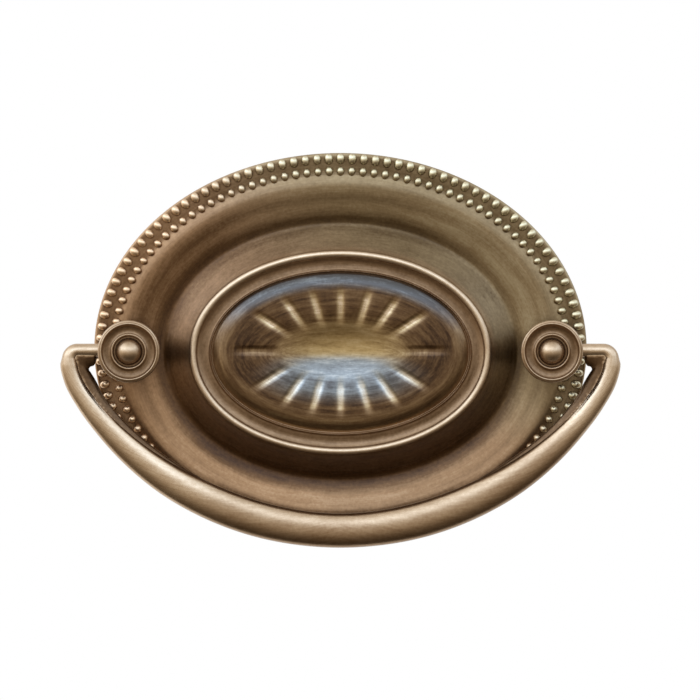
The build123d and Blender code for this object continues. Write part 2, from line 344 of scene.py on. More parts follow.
def build_plate():
    verts, rings = [], []

    def add_ring(count, xs, zs, hs):
        hs = np.broadcast_to(hs, np.shape(xs))
        start = len(verts)
        verts.extend(zip(xs, -hs, zs))
        rings.append(np.arange(start, start + count))

    def angles(count):
        return 2 * np.pi * np.arange(count) / count

    # front, from the middle outwards
    verts.append((0.0, -float(medallion_height(np.array([0.0]), np.array([0.0]))[0]), FIELD_Z))
    rings.append(np.array([0]))
    rho = np.concatenate([[0.02, 0.045, 0.075], np.linspace(0.11, 0.52, 17), np.linspace(0.54, 1.0, 21)])
    for r in rho:
        count = 40 if r < 0.05 else 80 if r < 0.12 else 160 if r < 0.26 else 320 if r < 0.5 else 640
        t = angles(count)
        x, z = ellipse_point(t, 19.1 * r, 10.3 * r)
        add_ring(count, x, z + FIELD_Z, medallion_height(x, z))
    for d in np.concatenate([np.linspace(-4.32, -0.75, 16), np.linspace(-0.6, 0.0, 8)]):
        t = angles(640)
        x, z = ellipse_point(t, FIELD_A + d, FIELD_B + d)
        add_ring(640, x, z + FIELD_Z, medallion_height(x, z))
    for d in np.linspace(0.1, 0.6, 6):
        t = angles(640)
        x, z = ring_xy(t, d)
        add_ring(640, x, z, ring_height(d))
    outer = np.concatenate([np.linspace(0.75, 2.25, 8), np.linspace(2.42, 3.78, 15), np.linspace(3.9, 5.6, 8),
                            np.linspace(6.0, 8.0, 6), np.linspace(8.2, 9.6, 7), np.linspace(10.0, 14.8, 13),
                            np.linspace(15.2, 17.9, 16), np.linspace(18.3, 20.3, 6)])
    for d in outer:
        t = angles(320)
        x, z = ring_xy(t, d)
        add_ring(320, x, z, ring_height(d))
    # rounded edge, rim and its foot
    for k in range(1, 7):
        a = k / 6 * math.pi / 2
        t = angles(320)
        x, z = ring_xy(t, 20.5 + 0.5 * math.sin(a))
        add_ring(320, x, z, BAND_H - 0.5 + 0.5 * math.cos(a))
    for d, h in ((21.0, 0.9), (21.0, 0.15), (20.95, 0.04), (20.85, 0.0), (20.2, 0.0), (20.08, 0.04), (20.03, 0.15), (20.02, 0.70),
                 (19.95, 0.84), (19.8, 0.9)):
        t = angles(320)
        x, z = ring_xy(t, d)
        add_ring(320, x, z, h)
    # back, from the rim inwards
    for d in np.concatenate([[18.6, 17.5, 16.6, 16.3, 16.0], np.linspace(15.6, 3.3, 22), np.linspace(2.7, 0.2, 6)]):
        count = 320 if d >= 16.6 else 160
        t = angles(count)
        x, z = ring_xy(t, d)
        add_ring(count, x, z, BAND_H - 1.0 if d >= 16.6 else back_ring(d))
    for d in (-0.4, -0.9, -1.6, -2.3, -3.0, -3.7, -4.4):
        t = angles(160)
        x, z = ellipse_point(t, FIELD_A + d, FIELD_B + d)
        add_ring(160, x, z + FIELD_Z, back_ring(d))
    for r in (0.92, 0.8, 0.65, 0.5, 0.36, 0.24, 0.12, 0.05):
        count = 160 if r > 0.3 else 80
        t = angles(count)
        x, z = ellipse_point(t, 19.2 * r, 10.4 * r)
        u = np.hypot(x / CREST_A, z / CREST_B)
        low = np.interp(u, DISH_U, DISH_H) - 1.0
        add_ring(count, x, z + FIELD_Z, np.minimum(low, 5.28))
    verts.append((0.0, -float(DISH_H[0] - 1.0), FIELD_Z))
    rings.append(np.array([len(verts) - 1]))

    faces = []
    for a, b in zip(rings, rings[1:]):
        na, nb = len(a), len(b)
        if na == 1:
            faces += [(a[0], b[k], b[(k + 1) % nb]) for k in range(nb)]
        elif nb == 1:
            faces += [(a[k], b[0], a[(k + 1) % na]) for k in range(na)]
        elif na == nb:
            faces += [(a[k], b[k], b[(k + 1) % nb], a[(k + 1) % na]) for k in range(na)]
        elif nb == 2 * na:
            for k in range(na):
                k2 = (k + 1) % na
                p, q, r = b[2 * k], b[2 * k + 1], b[(2 * k + 2) % nb]
                faces += [(a[k], p, q), (a[k], q, a[k2]), (a[k2], q, r)]
        elif na == 2 * nb:
            for k in range(nb):
                k2 = (k + 1) % nb
                p, q, r = a[2 * k], a[2 * k + 1], a[(2 * k + 2) % na]
                faces += [(p, b[k], q), (q, b[k], b[k2]), (q, b[k2], r)]
    obj = make_object("backplate_pressing", verts, faces)
    recalc(obj)
    return obj


def on_ellipse(a, b, count, steps=7200):
    """Points at equal distances along an ellipse, starting at its top."""
    t = np.linspace(0, 2 * np.pi, steps + 1)
    x, z = a * np.sin(t), b * np.cos(t)
    length = np.concatenate([[0], np.cumsum(np.hypot(np.diff(x), np.diff(z)))])
    goal = length[-1] * np.arange(count) / count
    tt = np.interp(goal, length, t)
    return list(zip(a * np.sin(tt), b * np.cos(tt)))


BEAD_ROWS = ((43.60, 34.70, 116), (41.25, 32.45, 114))
BEADS = [(x, z, x / a**2, z / b**2, a > 42) for a, b, n in BEAD_ROWS for x, z in on_ellipse(a, b, n)
         if math.hypot(abs(x) - POST_X, z) > SEAT_R + 0.76 * 0.6]


def build_beads():
    """All beads as one mesh of closed caps, sunk into the band."""
    verts, faces = [], []
    seg, stack = 14, 6
    for x, z, nx, nz, outer in BEADS:
        # a little longer across the border than along it
        l = math.hypot(nx, nz)
        nx, nz = nx / l, nz / l
        r = (0.80 if outer else 0.76) * (1 + 0.04 * rng.standard_normal())
        long, broad = (1.22, 0.98) if outer else (1.12, 0.94)
        # none so tall that the bail meets it at the end of its swing
        h0 = min(1.95 + 0.03 * rng.standard_normal(), (2.80 if outer else 2.72) - r)
        top = len(verts)
        verts.append((x, -(h0 + r), z))
        prev = None
        for i in range(1, stack + 1):
            a = i / stack * math.pi * 0.60
            ring = []
            for k in range(seg):
                b = 2 * math.pi * k / seg
                ring.append(len(verts))
                out, side = long * r * math.sin(a) * math.cos(b), broad * r * math.sin(a) * math.sin(b)
                verts.append((x + out * nx - side * nz, -(h0 + r * math.cos(a)), z + out * nz + side * nx))
            for k in range(seg):
                k2 = (k + 1) % seg
                if prev is None:
                    faces.append((top, ring[k2], ring[k]))
                else:
                    faces.append((prev[k], prev[k2], ring[k2], ring[k]))
            prev = ring
        faces.append(tuple(prev))
    obj = make_object("beads", verts, faces)
    recalc(obj)
    return obj


def disc(name, x0, profile, segments=72):
    return lathe(name, profile, x0, segments)


plate = build_plate()
# room for the posts' seats, the seats, and their holes
boolean(plate, [disc("cut", s * POST_X, [(0, SEAT_H), (SEAT_R + 0.02, SEAT_H), (SEAT_R + 0.02, 8), (0, 8)]) for s in (-1, 1)], "DIFFERENCE")
boolean(plate, [disc("seat", s * POST_X, [(0, 0.93), (SEAT_R, 0.93), (SEAT_R, SEAT_H - 0.16), (SEAT_R - 0.05, SEAT_H - 0.05),
                                          (SEAT_R - 0.16, SEAT_H), (0, SEAT_H)]) for s in (-1, 1)], "UNION")
boolean(plate, [build_beads()], "UNION")
boolean(plate, [disc("hole", s * POST_X, [(0, -2), (SEAT_HOLE, -2), (SEAT_HOLE, 6), (0, 6)]) for s in (-1, 1)], "DIFFERENCE")
tidy(plate, 0.002)
shade(plate, 38)


def plate_attributes(obj):
    co = coords(obj)
    x, h, z = co[:, 0], -co[:, 1], co[:, 2]
    near = np.hypot(np.abs(x) - POST_X, z)
    radius = np.maximum(np.hypot(x, z), 1.0)
    edge = radius * (1 / np.maximum(np.hypot(x / OUT_A, z / OUT_B), 0.02) - 1)
    z = z - FIELD_Z
    inside = (x / FIELD_A) ** 2 + (z / FIELD_B) ** 2 <= 1
    # distance and angle outside the medallion: nearest point of its ellipse
    t = np.arctan2(z / FIELD_B, x / FIELD_A)
    for _ in range(25):
        ex, ez = FIELD_A * np.cos(t), FIELD_B * np.sin(t)
        dx, dz = -FIELD_A * np.sin(t), FIELD_B * np.cos(t)
        f = (x - ex) * dx + (z - ez) * dz
        g = -(dx * dx + dz * dz) + (x - ex) * (-ex) + (z - ez) * (-ez)
        t = np.where(inside, t, t - np.clip(f / np.minimum(g, -1e-6), -0.2, 0.2))
    d = np.hypot(x - FIELD_A * np.cos(t), z - FIELD_B * np.sin(t))
    s = inside_distance(x, z)
    d = np.where(inside, -s, d)
    ti = np.arctan2(z / np.maximum(FIELD_B - s, 0.05), x / np.maximum(FIELD_A - s, 0.05))
    t = np.where(inside, ti, t)
    front = h > np.where(inside, 4.9, np.where(d < 17.5, np.maximum(ring_height(np.minimum(d, 17.5)) - 0.5, 0.0), 1.3))
    front = np.where(inside, h > back_ring(np.clip(d, -4.4, 0)) + 0.35, front)
    front = np.where(inside & (s > 4.4), h > np.interp(np.hypot(x / CREST_A, z / CREST_B), DISH_U, DISH_H) - 0.75, front)
    # streaks: c runs across the moulding, (cos t, sin t) along it
    set_attr(obj, "brush", np.stack([d, 9 * np.cos(t), 9 * np.sin(t)], 1))
    set_attr(obj, "field", smooth(-0.2, -0.8, d) * front)
    # painted reflections on the dish: a golden reflection in its middle, a grey-blue reflection below that and on the
    # top of the rolled edge
    top_roll = front * inside * (1 - smooth(1.6, 3.6, s)) * smooth(3.0, 11.0, z)
    set_attr(obj, "gold_reflection", front * inside * (1 - smooth(0.25, 1.12, np.hypot((x - 0.8) / 13.0, z / 7.4))))
    set_attr(obj, "cool_reflection", np.maximum(front * inside * (1 - smooth(0.50, 1.10, np.hypot(x / 16.0, (z + 4.3) / 5.4))) * smooth(0.5, -1.4, z), top_roll))
    # painted reflection tint on the border: olive at the top and the right, ruddier at the left and below
    border = smooth(3.4, 5.0, d) * front
    set_attr(obj, "olive_reflection_tint", smooth(-4.0, 20.0, 0.6 * z + 0.6 * np.minimum(z, 0) + 0.7 * x) * border)
    set_attr(obj, "ruddy_reflection_tint", np.maximum(smooth(4.0, -20.0, 0.35 * z + 0.7 * x), 0.6 * smooth(-6.0, -18.0, z)) * border)
    # worn crests of the ridges and the outer edge, with painted highlights on the top of the outer ridge and in a band
    # of the trough
    wear_and_highlight = (0.85 * bump(3.05, 0.50, d) + 0.30 * bump(2.9, 0.7, d) * smooth(0.0, 12.0, z) + 0.62 * bump(0.0, 0.20, d) + 0.06 * bump(11.4, 0.6, d)
            + 0.25 * bump(21.0, 0.35, d))
    # dark: patina in the cove, on the pedestal and in the trough's valley, with painted shade bands in the trough and
    # on the shoulder, the valley painted less dark at the upper right, and a painted shadow of the bail low on the
    # border
    dark = (0.38 * bump(1.1, 0.9, d) * (d > 0) + 0.26 * smooth(3.8, 4.8, d) * (1 - smooth(7.2, 8.6, d)) + 0.80 * bump(8.95, 1.4, d) * (1 - 0.6 * smooth(14.0, 26.0, x) * smooth(0.0, 6.0, z))
            + 0.18 * bump(13.3, 0.7, d) + 0.16 * bump(15.8, 0.9, d) + 0.75 * bump(14.5, 0.5, d) * smooth(-22.0, -27.0, z))
    # painted shade on the sides of the trough, strong on the left and faint on the right
    trough_zone = smooth(8.6, 10.5, d) * (1 - smooth(14.0, 16.0, d))
    dark = dark + trough_zone * smooth(12.0, 26.0, np.abs(x)) * smooth(-14.0, 0.0, z) * np.where(x < 0, 0.40, 0.04)
    # painted shade on the border below, most on the left
    dark = dark + smooth(7.4, 9.0, d) * (1 - smooth(10.4, 12.2, d)) * smooth(-8.0, -20.0, z) * (0.22 + 0.26 * smooth(0.0, -22.0, x))
    # painted highlights: the outer part of the lower trough and the right side of the trough are lighter
    wear_and_highlight = wear_and_highlight + (0.13 - 0.07 * smooth(4.0, 20.0, x)) * smooth(10.8, 12.4, d) * (1 - smooth(14.2, 14.9, d)) * smooth(-10.0, -20.0, z)
    wear_and_highlight = wear_and_highlight + 0.22 * trough_zone * smooth(8.0, 24.0, x) * smooth(-5.0, 5.0, z)
    beads = (1 - smooth(3.85, 4.25, edge)) * smooth(0.10, 0.45, edge)
    tops = smooth(BAND_H + 0.05, BAND_H + 0.40, h) * beads
    dark = dark + 0.42 * beads * (1 - smooth(BAND_H + 0.02, BAND_H + 0.30, h))
    wear_and_highlight = wear_and_highlight + 0.9 * tops
    # painted shade around and under the posts' caps
    dark = dark + 0.25 * (1 - smooth(4.4, 6.4, near)) * (1 - tops)
    # medallion: painted highlights along the grooves, fainter on the flat rays at the sides, and painted shade on the
    # lobes, towards the left and right ends and on the top of the rolled edge
    zr = z + FIELD_Z
    groove = groove_depth(x, zr) / GROOVE
    groove = groove * (1 - 0.65 * (1 - smooth(2.0, 3.5, np.abs(zr))) * smooth(8.0, 11.0, np.abs(x)))
    uo = np.hypot(x / RAY_OUT[0], zr / RAY_OUT[1])
    ui = np.hypot(x / RAY_IN[0], zr / RAY_IN[1])
    lobes = smooth(0.9, 1.15, ui) * (1 - smooth(0.96, 1.10, uo)) * inside
    wear_and_highlight = wear_and_highlight + inside * (0.85 * groove)
    dark = dark + inside * (0.66 * lobes * (1 - groove) + 0.30 * smooth(12.0, 19.0, np.abs(x)) * (1 - groove) + 0.70 * top_roll)
    # the first attribute holds worn crests and painted highlights, the second patina in the hollows and painted shade
    set_attr(obj, "wear_and_highlight", np.clip(wear_and_highlight, 0, 1) * front)
    set_attr(obj, "patina_and_shade", np.where(front, np.clip(dark, 0, 1), 0.35))
    set_attr(obj, "back", 1.0 - front)


plate_attributes(plate)


# ---- posts -------------------------------------------------------------------
def curve_points(points, m0, m1, count):
    """Cubic through points given as (x, y), by chord length, with end directions."""
    p = np.array(points, float)
    l = np.concatenate([[0], np.cumsum(np.linalg.norm(np.diff(p, axis=0), axis=1))])
    tangent = lambda m, k: None if m is None else m[k] / math.hypot(*m)
    fx = hermite(np.stack([l, p[:, 0]], 1), tangent(m0, 0), tangent(m1, 0))
    fy = hermite(np.stack([l, p[:, 1]], 1), tangent(m0, 1), tangent(m1, 1))
    q = np.linspace(0, l[-1], count)
    return list(zip(fx(q), fy(q)))


def arc_points(p0, p1, p2, count):
    (ax, ay), (bx, by), (cx, cy) = p0, p1, p2
    d = 2 * (ax * (by - cy) + bx * (cy - ay) + cx * (ay - by))
    ux = ((ax**2 + ay**2) * (by - cy) + (bx**2 + by**2) * (cy - ay) + (cx**2 + cy**2) * (ay - by)) / d
    uy = ((ax**2 + ay**2) * (cx - bx) + (bx**2 + by**2) * (ax - cx) + (cx**2 + cy**2) * (bx - ax)) / d
    r = math.hypot(ax - ux, ay - uy)
    a0, a1, a2 = (math.atan2(y - uy, x - ux) for x, y in (p0, p1, p2))
    span = (a2 - a0) % (2 * math.pi)
    if (a1 - a0) % (2 * math.pi) > span:
        span -= 2 * math.pi
    return [(ux + r * math.cos(a0 + span * k / (count - 1)), uy + r * math.sin(a0 + span * k / (count - 1))) for k in range(count)]


def post_profile():
    """Turned profile from the button's top down to the thread's start."""
    p = curve_points([(0, 12.25), (0.8, 12.10), (1.45, 11.68), (2.05, 11.0), (2.30, 10.52), (2.42, 10.10)], (1, 0), (0.12, -1), 18)
    p += [(2.47, 10.04), (2.72, 10.04), (2.77, 10.09)]
    p += [(2.81, 10.38), (2.84, 10.48)]
    p += arc_points((2.87, 10.52), (3.06, 10.64), (3.24, 10.54), 8)
    p += curve_points([(3.27, 10.51), (3.42, 10.38), (3.75, 10.32), (4.20, 10.38), (4.62, 10.56), (4.84, 10.80)], (0.7, -1), (0.5, 1), 13)
    p += arc_points((4.87, 10.84), (5.05, 10.98), (5.20, 10.90), 6)
    p += [(5.24, 10.86)]
    p += arc_points((5.27, 10.86), (5.50, 10.74), (5.6, 10.35), 6)
    p += [(5.6, 10.0), (5.6, 9.4), (5.6, 9.05)]
    p += arc_points((5.59, 9.0), (5.50, 8.68), (5.25, 8.46), 5)
    p += [(4.5, 8.33), (3.78, 8.22)]
    p += curve_points([(3.68, 8.17), (3.25, 7.6), (3.1, 6.9), (3.08, 5.8), (3.1, 4.7), (3.3, 4.0), (3.82, 3.33)], (-0.9, -0.7), (1, -0.4), 18)
    p += arc_points((3.87, 3.29), (4.3, 2.75), (4.07, 2.24), 8)
    p += [(4.0, 2.21), (2.7, 2.2), (2.6, 2.14), (2.6, 0.12), (2.54, 0.05), (2.06, 0.05), (2.0, 0.0)]
    p += [(2.0, -4.0), (2.0, -9.0), (2.0, -13.4), (1.98, -13.6)]
    return p


def build_post(name, side):
    segments = 96
    profile = post_profile()
    # thread: one helical ridge, pitch 0.7, from y 13.8 to 25.5, then a chamfer
    pitch, y0, y1 = 0.7, 13.8, 25.55
    verts, rings = [], []
    for r, h in profile:
        if r < 1e-6:
            rings.append([len(verts)])
            verts.append((side * POST_X, -h, 0.0))
        else:
            rings.append(list(range(len(verts), len(verts) + segments)))
            for k in range(segments):
                a = 2 * math.pi * k / segments
                verts.append((side * POST_X + r * math.cos(a), -h, r * math.sin(a)))
    steps = int((y1 - y0) / pitch * 14)
    for i in range(steps + 1):
        y = y0 + (y1 - y0) * i / steps
        rings.append(list(range(len(verts), len(verts) + segments)))
        for k in range(segments):
            a = 2 * math.pi * k / segments
            f = (y / pitch - k / segments) % 1.0
            ridge = 1 - abs(2 * f - 1)
            ridge = float(smooth(0.10, 0.90, ridge))
            run_in = float(smooth(0, 1.1, y - y0)) * float(1 - smooth(-0.75, 0.0, y - y1))
            r = 1.62 + 0.36 * ridge
            r = r * run_in + (1 - run_in) * (1.95 if y < 20 else 1.60)
            verts.append((side * POST_X + r * math.cos(a), y, r * math.sin(a)))
    for r, y in ((1.45, 25.85), (1.28, 25.97), (1.1, 26.0)):
        rings.append(list(range(len(verts), len(verts) + segments)))
        for k in range(segments):
            a = 2 * math.pi * k / segments
            verts.append((side * POST_X + r * math.cos(a), y, r * math.sin(a)))
    rings.append([len(verts)])
    verts.append((side * POST_X, 26.0, 0.0))
    faces = []
    for a, b in zip(rings, rings[1:]):
        for k in range(segments):
            k2 = (k + 1) % segments
            if len(a) == 1:
                faces.append((a[0], b[k2], b[k]))
            elif len(b) == 1:
                faces.append((a[k], a[k2], b[0]))
            else:
                faces.append((a[k], a[k2], b[k2], b[k]))
    obj = make_object(name, verts, faces)
    recalc(obj)
    # blind hole for the pin
    bm = bmesh.new()
    bmesh.ops.create_cone(bm, cap_ends=True, segments=48, radius1=1.31 * MM, radius2=1.31 * MM, depth=8 * MM)
    hole_mesh = bpy.data.meshes.new("pin_hole")
    bm.to_mesh(hole_mesh)
    bm.free()
    hole = bpy.data.objects.new("pin_hole", hole_mesh)
    bpy.context.scene.collection.objects.link(hole)
    hole.matrix_world = Matrix.Translation(Vector((side * (36.6 + 4.0), -PIVOT_H, 0)) * MM) @ Matrix.Rotation(math.pi / 2, 4, "Y")
    bpy.context.view_layer.update()
    hole.data.transform(hole.matrix_world)
    hole.matrix_world = Matrix.Identity(4)
    bpy.context.view_layer.update()
    boolean(obj, [hole], "DIFFERENCE")
    recalc(obj)
    shade(obj, 34)
    co = coords(obj)
    h = -co[:, 1]
    dx, dz = co[:, 0] - side * POST_X, co[:, 2]
    r = np.hypot(dx, dz)
    a = np.arctan2(dz, dx)
    along = np.where(h > 8.6, r, h)
    set_attr(obj, "brush", np.stack([along, 2.2 * np.cos(a), 2.2 * np.sin(a)], 1))
    head = smooth(8.0, 8.6, h)
    wear_and_highlight = head * (0.42 * bump(5.04, 0.16, r) + 0.40 * bump(5.52, 0.14, r) + 0.26 * bump(3.05, 0.22, r)
                   + 0.45 * (1 - smooth(1.2, 2.2, r)) * smooth(11.0, 11.6, h))
    dark = head * (0.95 * bump(2.60, 0.19, r) * (1 - smooth(10.3, 10.8, h)) + 0.52 * bump(4.0, 0.75, r) + 0.45 * bump(5.24, 0.06, r))
    # painted shade on the neck under the cap
    dark = dark + (1 - head) * smooth(2.2, 2.5, h) * 0.55
    set_attr(obj, "wear_and_highlight", np.clip(wear_and_highlight, 0, 1))
    set_attr(obj, "patina_and_shade", np.clip(dark, 0, 1))
    set_attr(obj, "shank", 1 - smooth(-0.1, 0.3, h))
    return obj


posts = {name: build_post(name + "_turning", side) for name, side in (("post_left", -1), ("post_right", 1))}


# ---- bail --------------------------------------------------------------------
# outer edge (x, z), inner edge (x, z), half depth, from below the elbow to the
# middle of the grip
STATIONS = [
    (50.74, -2.38, 47.25, -2.40, 1.52),
    (50.12, -5.53, 46.45, -4.95, 1.63),
    (47.60, -10.40, 43.80, -9.00, 1.78),
    (44.25, -15.00, 40.45, -12.70, 1.93),
    (40.50, -19.28, 36.75, -15.95, 2.05),
    (36.40, -23.11, 32.75, -18.85, 2.14),
    (31.90, -26.50, 28.50, -21.45, 2.20),
    (27.00, -29.36, 24.05, -23.75, 2.25),
    (21.90, -31.70, 19.40, -25.72, 2.28),
    (16.60, -33.53, 14.65, -27.33, 2.30),
    (11.10, -34.82, 9.80, -28.52, 2.30),
    (5.55, -35.57, 4.90, -29.28, 2.30),
    (0.00, -35.83, 0.00, -29.55, 2.30),
    (-5.55, -35.57, -4.90, -29.28, 2.30),
    (-11.10, -34.82, -9.80, -28.52, 2.30),
]
# lower flank along the inner side of each limb, with the haunch under the arm:
# its edge (x, z), where it ends inside the rod (x, z), half depth
FLANK = [
    (44.10, -1.00, 44.10, 0.00, 0.80), (44.35, -2.20, 44.35, 0.00, 0.90), (44.75, -2.80, 44.90, 0.00, 0.98),
    (45.30, -2.98, 46.60, 0.00, 1.00), (45.55, -3.35, 48.20, -0.80, 1.00), (45.20, -4.00, 48.90, -2.40, 1.00),
    (44.75, -4.70, 48.28, -5.35, 1.02), (42.63, -8.56, 45.70, -9.81, 1.08), (39.72, -12.26, 42.35, -13.96, 1.16),
    (36.30, -15.55, 38.60, -17.70, 1.23), (32.49, -18.55, 34.60, -21.10, 1.28), (28.40, -21.28, 30.20, -24.10, 1.32),
    (24.80, -23.40, 25.80, -26.50, 1.34),
]


def bail_sections():
    """Centre, half width, half depth and across direction along one half of
    the bail, from the pin's end to the middle of the grip."""
    out = []
    # pin and arm
    for x, r in ((37.0, 0.95), (37.05, 1.08), (37.15, 1.19), (37.3, 1.25)):
        out.append(((x, 0.0), r, r, (0.0, 1.0)))
    for x in np.linspace(38.2, 47.2, 11):
        out.append(((x, 0.0), 1.25, 1.25, (0.0, 1.0)))
    # elbow: the rod bends down
    cx, cz, bend = 47.5, -1.5, 1.5
    for k in range(0, 15):
        a = math.radians(90 - k * 6)
        f = k / 14
        wide = 1.25 + 0.19 * f
        out.append(((cx + bend * math.cos(a), cz + bend * math.sin(a)), wide, 1.25 + 0.15 * f, (math.cos(a), math.sin(a))))
    st = np.array(STATIONS)
    c = (st[:, 0:2] + st[:, 2:4]) / 2
    w = np.hypot(st[:, 0] - st[:, 2], st[:, 1] - st[:, 3]) / 2
    l = np.concatenate([[0], np.cumsum(np.linalg.norm(np.diff(c, axis=0), axis=1))])
    fx, fz = hermite(np.stack([l, c[:, 0]], 1), 0.0), hermite(np.stack([l, c[:, 1]], 1), -1.0)
    fw, fe = hermite(np.stack([l, w], 1)), hermite(np.stack([l, st[:, 4]], 1))
    ax = hermite(np.stack([l, (st[:, 0] - st[:, 2]) / (2 * w)], 1))
    az = hermite(np.stack([l, (st[:, 1] - st[:, 3]) / (2 * w)], 1))
    middle = l[12]
    for q in np.concatenate([np.linspace(0.0, 6.0, 12)[0:], np.linspace(6.8, middle, 72)]):
        q = min(q, middle)
        across = np.array([float(ax(q)), float(az(q))])
        across /= np.linalg.norm(across)
        out.append(((float(fx(q)), float(fz(q))), float(fw(q)), float(fe(q)), tuple(across)))
    return out


def build_flank(side):
    """Closed body between the flank's edge and the rod's core."""
    f = np.array(FLANK)
    l = np.concatenate([[0], np.cumsum(np.hypot(np.diff(f[:, 0]), np.diff(f[:, 1])))])
    q = np.concatenate([np.linspace(0, l[6], 34)[:-1], np.linspace(l[6], l[-1], 60)])
    xe, ze, xc, zc, e = (hermite(np.stack([l, f[:, k]], 1))(q) for k in range(5))
    n, m = len(q), 11
    u = 1 - np.cos(np.pi / 2 * np.arange(m) / (m - 1))
    out = (1 - (1 - u) ** 2.4) ** (1 / 2.4)
    verts, front, back = [], [], []
    for k in range(m):
        for rows, sign in ((front, 1), (back, -1)):
            if k == 0 and sign < 0:
                rows.append(front[0])
                continue
            rows.append(list(range(len(verts), len(verts) + n)))
            verts += [(side * (a + (b - a) * u[k]), -PIVOT_H - sign * g * out[k], c + (d - c) * u[k]) for a, b, c, d, g in zip(xe, xc, ze, zc, e)]
    faces = []
    for i in range(n - 1):
        for k in range(m - 1):
            faces.append((front[k][i], front[k][i + 1], front[k + 1][i + 1], front[k + 1][i]))
            faces.append((back[k][i], back[k + 1][i], back[k + 1][i + 1], back[k][i + 1]))
        faces.append((front[-1][i], front[-1][i + 1], back[-1][i + 1], back[-1][i]))
    for i in (0, n - 1):
        faces.append([front[k][i] for k in range(m)] + [back[k][i] for k in range(m - 1, 0, -1)])
    obj = make_object("flank", verts, faces)
    recalc(obj)
    return obj


def build_bail():
    half = bail_sections()
    full = half + [((-c[0], c[1]), w, e, (-a[0], a[1])) for c, w, e, a in half[:-1][::-1]]
    seg = 72
    verts, rings = [], []
    for (x, z), w, e, (ax, az) in full:
        rings.append(list(range(len(verts), len(verts) + seg)))
        power = 2 / (2.0 + 0.25 * min(1.0, max(0.0, (w - 1.3) / 0.6)))
        for k in range(seg):
            a = 2 * math.pi * k / seg
            c, s = math.cos(a), math.sin(a)
            c, s = math.copysign(abs(c) ** power, c), math.copysign(abs(s) ** power, s)
            verts.append((x + ax * w * c, -PIVOT_H - e * s, z + az * w * c))
    faces = []
    for a, b in zip(rings, rings[1:]):
        for k in range(seg):
            k2 = (k + 1) % seg
            faces.append((a[k], a[k2], b[k2], b[k]))
    for ring, (x, z) in ((rings[0], full[0][0]), (rings[-1], full[-1][0])):
        verts.append((x, -PIVOT_H, z))
        for k in range(seg):
            faces.append((ring[k], len(verts) - 1, ring[(k + 1) % seg]))
    obj = make_object("bail_handle", verts, faces)
    recalc(obj)
    boolean(obj, [build_flank(side) for side in (-1, 1)], "UNION")
    tidy(obj)
    shade(obj, 22)
    # place of each vertex on the rod: along it, across it and out of it
    co = coords(obj)
    centre = np.array([c for c, w, e, a in full])
    across = np.array([a for c, w, e, a in full])
    wide = np.array([w for c, w, e, a in full])
    deep = np.array([e for c, w, e, a in full])
    run = np.concatenate([[0], np.cumsum(np.linalg.norm(np.diff(centre, axis=0), axis=1))])
    gap = (co[:, 0:1] - centre[None, :, 0]) ** 2 + (co[:, 2:3] - centre[None, :, 1]) ** 2
    near = np.argmin(gap, axis=1)
    dx, dz = co[:, 0] - centre[near, 0], co[:, 2] - centre[near, 1]
    side = (dx * across[near, 0] + dz * across[near, 1]) / wide[near]
    # a mean over the nearby sections, so that it has no jumps in the corner
    # under the arm
    weight = np.exp(-(gap - gap.min(axis=1, keepdims=True)) / 0.8) * np.gradient(run)[None, :]
    arc = (weight * run[None, :]).sum(axis=1) / weight.sum(axis=1)
    facing = np.clip((-co[:, 1] - PIVOT_H) / deep[near], -1, 1)
    angle = np.arctan2(facing, np.clip(side, -1, 1))
    twist = angle + 0.10 * np.abs(arc - run[-1] / 2)
    set_attr(obj, "brush", np.stack([arc, 2.6 * np.cos(twist), 2.6 * np.sin(twist)], 1))
    # painted light on the rod: painted highlights along its inner face, on the arms and on the left limb; painted shade
    # on its outer edge, on its back half and on its inner flank
    limb = smooth(23.0, 30.0, np.abs(co[:, 0]))
    flank = smooth(-0.84, -1.0, side) * (1 - limb) + smooth(-0.72, -0.87, side) * limb
    wear_and_highlight = (0.22 * smooth(0.15, 0.7, -side) * smooth(-0.2, 0.5, facing) + np.maximum(0.42 * smooth(38.0, 46.0, np.abs(co[:, 0])), 0.34 * smooth(-18.0, -32.0, co[:, 0]))) * (1 - flank)
    dark = 0.24 * smooth(0.35, 1.0, side) + 0.30 * smooth(0.2, -0.7, facing) * (1 - flank) + 0.95 * flank
    set_attr(obj, "wear_and_highlight", np.clip(wear_and_highlight, 0, 1))
    set_attr(obj, "patina_and_shade", np.clip(dark, 0, 1))
    return obj


bail = build_bail()


# ---- washers and nuts --------------------------------------------------------
def build_washer(name, side):
    ring = round_chain([(2.15, -19.4), (2.15, -19.0), (4.5, -19.0), (4.5, -19.8), (2.15, -19.8), (2.15, -19.4)], 0.16, 4)
    seg = 72
    verts, rings = [], []
    for r, h in ring[:-1]:
        rings.append(list(range(len(verts), len(verts) + seg)))
        for k in range(seg):
            a = 2 * math.pi * k / seg
            verts.append((side * POST_X + r * math.cos(a), -h, r * math.sin(a)))
    faces = []
    for a, b in zip(rings, rings[1:] + rings[:1]):
        faces += [(a[k], a[(k + 1) % seg], b[(k + 1) % seg], b[k]) for k in range(seg)]
    obj = make_object(name, verts, faces)
    recalc(obj)
    shade(obj, 40)
    co = coords(obj)
    a = np.arctan2(co[:, 2], co[:, 0] - side * POST_X)
    r = np.hypot(co[:, 2], co[:, 0] - side * POST_X)
    set_attr(obj, "brush", np.stack([r + co[:, 1], 2 * np.cos(a), 2 * np.sin(a)], 1))
    return obj


